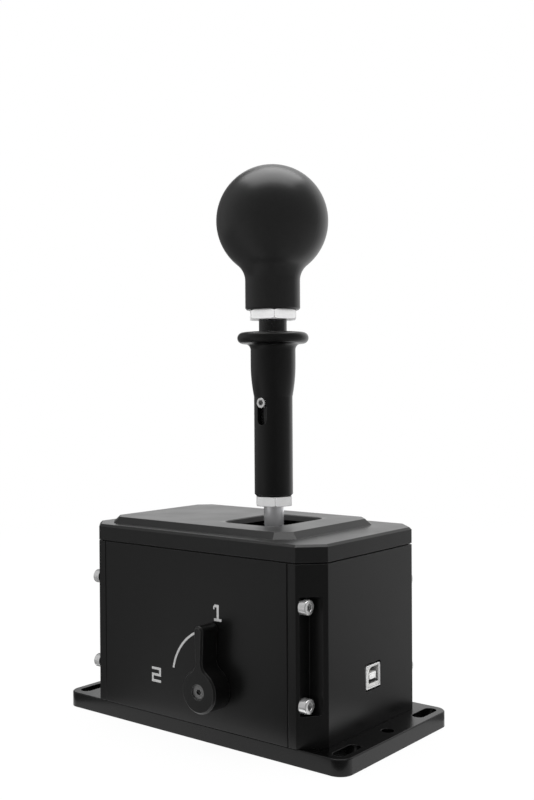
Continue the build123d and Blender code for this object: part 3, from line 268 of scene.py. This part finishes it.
def anodised(name, colour, roughness, worn_and_lit_edge="2c2c2c", ior=1.5, grit=0.35):
    """Dyed black in the pores of the oxide: dull gloss, marks of grit of that many millimetres drawn twice
    as coarse as the real ones, faint clouds some 20 mm across, and pale edges that are partly dye that wears
    thin and partly a painted highlight."""
    material, tree, place = new_material(name)
    grain = add_node(tree, "ShaderNodeTexNoise", {
        "Scale": 1000 / (2 * grit), "Detail": 2, "Roughness": 0.6}, {"Vector": place})
    cloud = add_node(tree, "ShaderNodeTexNoise", {"Scale": 1000 / 20, "Detail": 3}, {"Vector": place})
    shade = add_node(tree, "ShaderNodeMix", {
        "data_type": "RGBA", 6: srgb(colour, 0.7), 7: srgb(colour, 1.3)}, {0: grain.outputs["Fac"]})
    edge, edge_share = edge_wear_and_shading(tree, 6, 0.99, 0.85)
    dye_and_lit_edge = add_node(tree, "ShaderNodeMix", {"data_type": "RGBA", 7: srgb(worn_and_lit_edge)}, {
        0: edge_share, 6: shade.outputs[2]})
    rough = add_node(tree, "ShaderNodeMapRange", {
        "From Min": 0.3, "From Max": 0.7, "To Min": roughness - 0.02, "To Max": roughness + 0.03}, {
        "Value": cloud.outputs["Fac"]})
    bump = add_node(tree, "ShaderNodeBump", {"Strength": 0.03, "Distance": 0.0001}, {
        "Height": grain.outputs["Fac"], "Normal": edge})
    finish_surface(tree, dye_and_lit_edge.outputs[2], rough.outputs["Result"], bump.outputs[0], IOR=ior)
    return material


def dress(material, *nodes):
    """Gives CAD nodes their material."""
    for node in nodes:
        cad[node].data.materials.clear()
        cad[node].data.materials.append(material)


dress(anodised("black_anodised_plate", "050505", 0.26, ior=1.38), "base_plate")
dress(anodised("black_anodised_box", "0a0a0a", 0.3, worn_and_lit_edge="1e1e1e", ior=1.43),
      "front_end_cap", "rear_end_cap", "lever_side_plate", "plain_side_plate")

# The walls of the lever's opening are painted dark grey, not black, as painted light that falls on them.
# They lie within half of its 33.5 and 42.6 mm and 0.3 mm of its bevel, round the lever.
lever_x = 0.0147
opening_half = (0.01705, 0.0216, 1)
cover = anodised("black_anodised_cover", "131313", 0.31, ior=1.4)
tree = cover.node_tree
shader = tree.nodes["Principled BSDF"]
dye_and_lit_edge = shader.inputs["Base Color"].links[0].from_socket
place = add_node(tree, "ShaderNodeTexCoord", {}, {}).outputs["Object"]
offset = add_node(tree, "ShaderNodeVectorMath", {"operation": "SUBTRACT", 1: (lever_x, 0, 0)}, {0: place})
offset = add_node(tree, "ShaderNodeVectorMath", {"operation": "ABSOLUTE"}, {0: offset.outputs[0]})
offset = add_node(tree, "ShaderNodeVectorMath", {"operation": "DIVIDE", 1: opening_half}, {
    0: offset.outputs[0]})
offset = add_node(tree, "ShaderNodeSeparateXYZ", {}, {0: offset.outputs[0]})
outermost = add_node(tree, "ShaderNodeMath", {"operation": "MAXIMUM"}, {
    0: offset.outputs[0], 1: offset.outputs[1]})
inside = add_node(tree, "ShaderNodeMath", {"operation": "LESS_THAN", 1: 1.0}, {0: outermost.outputs[0]})
# Painted light: the opening's walls get a paler grey than the black of the cover.
painted_wall_light = add_node(tree, "ShaderNodeMix", {"data_type": "RGBA", 7: srgb("565656")}, {
    0: inside.outputs[0], 6: dye_and_lit_edge})
tree.links.new(painted_wall_light.outputs[2], shader.inputs["Base Color"])
dress(cover, "top_cover")


# Screws
# Cold-headed steel, zinc plated and clear passivated: silvery and satin, with a painted highlight on the
# heads' rims and painted shade in their sockets. Eight hold the end caps and side plates together in the
# corner notches; the others are inside and underneath.
def painted_hollow_shade(tree, colour, reach, code):
    """Paints shade: turns a colour to the given darker one where other surfaces close in within the reach."""
    hollow = add_node(tree, "ShaderNodeAmbientOcclusion", {"samples": 8, "Distance": reach}, {})
    depth = add_node(tree, "ShaderNodeMapRange", {"From Min": 0.35, "From Max": 0.85}, {
        "Value": hollow.outputs["AO"]})
    mixed = add_node(tree, "ShaderNodeMix", {"data_type": "RGBA", 6: srgb(code)}, {
        0: depth.outputs["Result"], 7: colour})
    return mixed.outputs[2]


def plated(name, colour, metallic, roughness, flake=0.3, painted_rim="e8e8e8"):
    """Plating over headed steel: a crystalline mottle of that many millimetres in its gloss, softened edges
    with a tone of their own (painted highlight where paler, painted shade where darker), and painted shade
    that darkens sockets and corners."""
    material, tree, place = new_material(name)
    mottle = add_node(tree, "ShaderNodeTexNoise", {"Scale": 1000 / flake, "Detail": 1}, {"Vector": place})
    rough = add_node(tree, "ShaderNodeMapRange", {"To Min": roughness - 0.05, "To Max": roughness + 0.05}, {
        "Value": mottle.outputs["Fac"]})
    shade = add_node(tree, "ShaderNodeMix", {
        "data_type": "RGBA", 6: srgb(colour, 0.92), 7: srgb(colour, 1.04)}, {0: mottle.outputs["Fac"]})
    edge, edge_share = edge_wear_and_shading(tree, 8, 0.995, 0.95)
    rimmed = add_node(tree, "ShaderNodeMix", {"data_type": "RGBA", 7: srgb(painted_rim)}, {
        0: edge_share, 6: painted_hollow_shade(tree, shade.outputs[2], 0.0016, "202020")})
    finish_surface(tree, rimmed.outputs[2], rough.outputs["Result"], edge, Metallic=metallic)
    return material


zinc = plated("zinc_plated_steel", "f4f4f4", 0.88, 0.22, painted_rim="fafafa")
dress(zinc, "housing_screws", "base_screws", "cover_screws", "gate_screws", "sensor_screws", "main_screws",
      "detent_screw")


# Pedestals, cradle and hub
# Milled from aluminium and left natural: pale grey, with the end mill's fine parallel marks. The pedestals
# stand on the base plate; the cradle tilts sideways between them and carries the hub.
def machined(name, colour, roughness, pitch, along, metallic=1.0):
    """Cut metal: marks about pitch millimetres apart across the direction of the cut, in gloss and relief."""
    material, tree, place = new_material(name)
    cut = add_node(tree, "ShaderNodeMapping", {"Scale": along}, {"Vector": place})
    marks = add_node(tree, "ShaderNodeTexNoise", {"Scale": 1000 / pitch, "Detail": 2}, {
        "Vector": cut.outputs[0]})
    rough = add_node(tree, "ShaderNodeMapRange", {"To Min": roughness - 0.06, "To Max": roughness + 0.08}, {
        "Value": marks.outputs["Fac"]})
    shade = add_node(tree, "ShaderNodeMix", {
        "data_type": "RGBA", 6: srgb(colour, 0.93), 7: srgb(colour, 1.05)}, {0: marks.outputs["Fac"]})
    edge = add_node(tree, "ShaderNodeBevel", {"samples": 6, "Radius": 0.0002}, {})
    bump = add_node(tree, "ShaderNodeBump", {"Strength": 0.06, "Distance": 0.0001}, {
        "Height": marks.outputs["Fac"], "Normal": edge.outputs[0]})
    finish_surface(tree, shade.outputs[2], rough.outputs["Result"], bump.outputs[0], Metallic=metallic)
    return material


milled = machined("milled_aluminium", "c4c5c7", 0.34, 0.8, (1, 0.08, 1))
dress(milled, "front_pedestal", "rear_pedestal", "cradle", "shift_hub")

# Bearings, axles and pins
# Hardened steel, ground to size: grey and smooth, with fine marks all over. The ball bearings press into the
# pedestals and the cradle, and the axles run in them.
ground = machined("ground_steel", "a9aaad", 0.26, 0.5, (1, 1, 1))
dress(ground, "select_bearings", "shift_bearings", "select_axles", "shift_axles", "slider_guide_screws",
      "lock_pin", "mode_shaft", "lockout_pins", "tip_magnet", "gate_pin", "lockout_rod")

# Gate, stops and spring seats
# Laser-cut and turned steel with a thin black-grey phosphate: dull and even. The gate plate stands on four
# standoffs, and its slots guide the gate pin.
phosphate = machined("phosphated_steel", "5a5b5d", 0.5, 0.6, (1, 1, 0.2))
dress(phosphate, "gate_plate", "gate_standoffs", "reverse_stop", "spring_seats", "mode_slider",
      "main_standoffs", "lockout_ring", "spring_retainer")

# Springs and washer
# Drawn music wire and rolled strip, oiled: dark grey, shiny along the wire. Two springs centre the cradle,
# one pushes the collar down, one backs the lock pin, and a leaf gives the detents.
wire = machined("drawn_spring_wire", "77787b", 0.3, 0.4, (1, 1, 0.3))
dress(wire, "centring_springs", "collar_spring", "lock_pin_spring", "detent_spring", "wave_washer")

# Circuit boards
# Glass-fibre laminate under green solder mask: glossy, with the copper tracks just showing through as
# slightly paler straight lines. Black moulded chips and plugs are soldered on.
track_group = 6
speck_size = 1.2
board, tree, place = new_material("green_solder_mask")
tracks = add_node(tree, "ShaderNodeTexBrick", {
    "Color1": srgb("0d3a1e"), "Color2": srgb("0f4524"), "Mortar": srgb("1c6a3a"),
    "Scale": 1000 / track_group, "Mortar Size": 0.05, "Brick Width": 0.9, "Row Height": 0.25}, {
    "Vector": place})
speck = add_node(tree, "ShaderNodeTexNoise", {"Scale": 1000 / speck_size, "Detail": 1}, {"Vector": place})
gloss = add_node(tree, "ShaderNodeMapRange", {"To Min": 0.16, "To Max": 0.28}, {
    "Value": speck.outputs["Fac"]})
bump = add_node(tree, "ShaderNodeBump", {"Strength": 0.15, "Distance": 0.00004}, {
    "Height": tracks.outputs["Fac"]})
finish_surface(tree, tracks.outputs["Color"], gloss.outputs["Result"], bump.outputs[0], IOR=1.52)
dress(board, "sensor_board", "main_board")


def moulded(name, colour, roughness, ior, pore, relief=0.12):
    """Moulded plastic or rubber: even colour, a fine pore of that many millimetres in gloss and relief."""
    material, tree, place = new_material(name)
    pores = add_node(tree, "ShaderNodeTexNoise", {"Scale": 1000 / pore, "Detail": 2}, {"Vector": place})
    shade = add_node(tree, "ShaderNodeMix", {
        "data_type": "RGBA", 6: srgb(colour, 0.85), 7: srgb(colour, 1.12)}, {0: pores.outputs["Fac"]})
    rough = add_node(tree, "ShaderNodeMapRange", {"To Min": roughness - 0.04, "To Max": roughness + 0.04}, {
        "Value": pores.outputs["Fac"]})
    edge = add_node(tree, "ShaderNodeBevel", {"samples": 6, "Radius": 0.0002}, {})
    bump = add_node(tree, "ShaderNodeBump", {"Strength": relief, "Distance": 0.00005}, {
        "Height": pores.outputs["Fac"], "Normal": edge.outputs[0]})
    finish_surface(tree, shade.outputs[2], rough.outputs["Result"], bump.outputs[0], IOR=ior)
    return material


dress(moulded("moulded_epoxy", "1c1c1d", 0.5, 1.55, 0.4), "sensor_parts", "main_parts")
dress(moulded("nylon_spacer", "d9d6cc", 0.45, 1.53, 0.6), "sensor_spacers")
dress(moulded("lead_sheath", "141414", 0.6, 1.5, 0.5), "sensor_lead")


# Data socket
# A folded can of tinned steel round a pale moulding with a tongue and four contacts. It is soldered to the
# main board, and its mouth stands just proud of the near end cap.
def block(name, low, high):
    """A cube stretched between two corners, ready to be shaped."""
    bpy.ops.object.select_all(action="DESELECT")
    low, high = Vector(low), Vector(high)
    bpy.ops.mesh.primitive_cube_add(size=1, location=(low + high) / 2, scale=high - low)
    bpy.ops.object.transform_apply(location=True, rotation=True, scale=True)
    piece = bpy.context.object
    piece.name = name
    return piece


def finish_piece(piece, body, material):
    """Points the faces outwards, leaves edit mode, and gives the piece its material and body."""
    bpy.ops.mesh.select_all(action="SELECT")
    bpy.ops.mesh.remove_doubles(threshold=0.000001)
    bpy.ops.mesh.normals_make_consistent(inside=False)
    bpy.ops.object.mode_set(mode="OBJECT")
    bpy.ops.object.shade_smooth_by_angle(angle=radians(35))
    piece.data.materials.clear()
    piece.data.materials.append(material)
    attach(piece, body)


aligned = 0.9


def faces_mouth(centre, normal):
    """Whether a face looks out of the socket's mouth."""
    return normal.x > aligned


socket_low, socket_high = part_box("usb_socket")
mouth_x = socket_high[0]
can_wall = 0.0006
can_corner, can_lip = 0.0007, 0.00018
can_depth = 0.009
can_upper_z = 0.03
shell = block("socket_can", socket_low, socket_high)
pick(shell, "EDGE", lambda middle, way: abs(way.x) > aligned and middle.z > can_upper_z)
bpy.ops.mesh.bevel(offset=can_corner, segments=3)
pick(shell, "FACE", faces_mouth)
bpy.ops.mesh.inset(thickness=can_wall)
bpy.ops.mesh.extrude_region_move(TRANSFORM_OT_translate={"value": (-can_depth, 0, 0)})
pick(shell, "EDGE", lambda middle, way: middle.x > mouth_x - 0.0001)
bpy.ops.mesh.bevel(offset=can_lip, segments=2)
finish_piece(shell, "root", plated("tinned_steel", "e8e8e8", 0.3, 0.34, flake=0.8))
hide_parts("usb_socket")

# The moulding's mouth sits off its middle, and is an arch: its two upper corners are large.
moulding_back, moulding_front = 0.0092, 0.0003
moulding_wall = 0.0011
arch_shift = (0, 0.0005, 0.0006)
arch_depth = 0.0078
arch_corner = 0.003
arch_side_y, arch_shoulder_z = 0.0046, 0.0345
inner_low = (mouth_x - moulding_back, socket_low[1] + can_wall, socket_low[2] + can_wall)
inner_high = (mouth_x - moulding_front, socket_high[1] - can_wall, socket_high[2] - can_wall)
moulding = block("socket_moulding", inner_low, inner_high)
pick(moulding, "FACE", faces_mouth)
bpy.ops.mesh.inset(thickness=moulding_wall)
bpy.ops.transform.translate(value=arch_shift)
bpy.ops.mesh.extrude_region_move(TRANSFORM_OT_translate={"value": (-arch_depth, 0, 0)})
pick(moulding, "EDGE", lambda middle, way: (
    abs(way.x) > aligned and middle.x < inner_high[0] - 0.001
    and middle.z > arch_shoulder_z and abs(middle.y) < arch_side_y))
bpy.ops.mesh.bevel(offset=arch_corner, segments=5)
nylon = moulded("pale_nylon_moulding", "d2d2d0", 0.4, 1.53, 0.5)
tree = nylon.node_tree
shader = tree.nodes["Principled BSDF"]
pale = shader.inputs["Base Color"].links[0].from_socket
# The moulding turns a darker grey where its walls close in, deep in the mouth: painted shade.
tree.links.new(painted_hollow_shade(tree, pale, 0.005, "585858"), shader.inputs["Base Color"])
finish_piece(moulding, "root", nylon)

tongue_low = (mouth_x - 0.0085, -0.0026, 0.0298)
tongue_high = (mouth_x - 0.0004, 0.0028, 0.0329)
tongue_edge = 0.0003
tongue = block("socket_tongue", tongue_low, tongue_high)
pick(tongue, "FACE", faces_mouth)
bpy.ops.mesh.bevel(offset=tongue_edge, segments=3)
finish_piece(tongue, "root", moulded("white_nylon_tongue", "eeeeec", 0.35, 1.53, 0.5))

# Two contacts lie on the tongue and two under it, half sunk in.
contact_back, contact_front = mouth_x - 0.008, mouth_x - 0.0026
contact_y = 0.00125
contact_half_width, contact_half_height = 0.0005, 0.0001
contact_edge = 0.00008
contact_metal = machined("gold_plated_contact", "d9b566", 0.25, 0.3, (1, 1, 1))
contact_places = [(y, z) for z in (tongue_high[2], tongue_low[2]) for y in (-contact_y, contact_y)]
for number, (y, z) in enumerate(contact_places, 1):
    contact = block("socket_contact_%d" % number,
                    (contact_back, y - contact_half_width, z - contact_half_height),
                    (contact_front, y + contact_half_width, z + contact_half_height))
    pick(contact, "EDGE", lambda middle, way: abs(way.y) > aligned and middle.x > contact_front - 0.0003)
    bpy.ops.mesh.bevel(offset=contact_edge, segments=2)
    finish_piece(contact, "root", contact_metal)

# Shift shaft and nuts
# The shaft is ground steel bar, 10 mm across, shiny, with rings round it. Both hexagon nuts are blasted and
# nickelled, which leaves them satin and almost white; they lock the tube and the knob.
shaft_steel = machined("ground_shaft_steel", "f4f4f6", 0.13, 0.5, (0, 0, 1), metallic=0.7)
dress(shaft_steel, "shift_shaft")
# The nuts' edges are painted a darker grey than their faces, as painted shade.
dress(plated("satin_nickel", "fbfbfb", 0.1, 0.36, painted_rim="8c8c8c"), "upper_nut", "lower_nut")

# Lock-out sleeve and tube
# The sleeve is turned from aluminium and anodised black like the box; its guide screw is bright. The tube
# inside is steel with black oxide, a little glossier.
dress(anodised("black_anodised_turned", "090909", 0.3, ior=1.44), "lockout_sleeve")
dress(anodised("black_oxide_steel", "131313", 0.28, grit=0.25), "extension_tube")
dress(zinc, "sleeve_guide_screw")

# Knob
# Turned from black acetal bar and tumbled smooth: satin, with a soft highlight on top and no grain to see. A
# brass insert with the lathe's rings is pressed into its neck. The mode shaft's bush is of the same brass.
dress(moulded("turned_acetal", "1b1b1b", 0.31, 1.38, 0.8, relief=0.03), "knob")
dress(machined("turned_brass", "c9a45c", 0.25, 0.5, (0, 0, 1)), "knob_insert", "mode_bush")

# Mode lever
# Milled from aluminium, blasted and anodised black, with a fine bevel whose edge is painted pale as a painted
# highlight. A black zinc socket screw holds it on the mode shaft; its rims are painted lighter, a painted
# highlight.
dress(anodised("black_anodised_lever", "0a0a0a", 0.32, worn_and_lit_edge="505050", ior=1.44), "mode_lever")
dress(plated("black_zinc_screw", "828282", 0.9, 0.34, painted_rim="a8a8a8"), "mode_lever_screw")

# Marks on the wide face
# An arc that shows how the mode lever swings, and a plain number at each end of it, lasered through the
# black dye to the pale oxide. They stand 0.04 mm proud here so that they don't flicker with the face.
ink = moulded("lasered_pale_oxide", "b2b2b2", 0.55, 1.5, 0.4, relief=0.05)
face_y = -0.0456
mark_depth = 0.00004
pivot = Vector((lever_x, face_y, 0.0265))
arc_radius = 0.0260
arc_start, arc_end = radians(111), radians(169)
stroke = 0.0011
sliver = 0.0001
arc = block("mark_arc", (pivot.x + arc_radius - stroke / 2, face_y - mark_depth, pivot.z - sliver),
            (pivot.x + arc_radius + stroke / 2, face_y + mark_depth, pivot.z))
pick(arc, "FACE", lambda centre, normal: normal.z < aligned)
bpy.ops.mesh.delete(type="FACE")
bpy.ops.mesh.select_all(action="SELECT")
bpy.ops.mesh.spin(steps=28, angle=arc_end - arc_start, center=pivot, axis=(0, 1, 0))
bpy.ops.mesh.select_all(action="SELECT")
bpy.ops.transform.rotate(value=arc_start, orient_axis="Y", center_override=pivot)
finish_piece(arc, "root", ink)

# A number is a few bars: their left, low, right and high edges in millimetres from its lower left corner. Its
# name is followed by its bars, that corner's x and z, and its scale.
one = ((2.6, 0, 3.9, 7.6), (1.3, 6.3, 2.6, 7.6), (0.6, 5.3, 1.3, 7.0), (1.0, 0, 2.6, 1.2), (3.9, 0, 5.5, 1.2))
two = ((0, 6.3, 6.4, 7.6), (5.1, 4.45, 6.4, 6.3), (0, 3.15, 6.4, 4.45), (0, 1.3, 1.3, 3.15), (0, 0, 6.4, 1.3))
numbers = (("mark_number_1", one, 0.0140, 0.0571, 1.0), ("mark_number_2", two, -0.0252, 0.0226, 0.95))
for name, strokes, x, z, scale in numbers:
    bars = []
    for left, low, right, high in strokes:
        bars.append(block("bar", (x + left * scale / 1000, face_y - mark_depth, z + low * scale / 1000),
                          (x + right * scale / 1000, face_y + mark_depth, z + high * scale / 1000)))
    for bar in bars:
        bar.select_set(True)
    bpy.ops.object.join()
    mark = bpy.context.object
    mark.name = name
    bpy.ops.object.mode_set(mode="EDIT")
    finish_piece(mark, "root", ink)
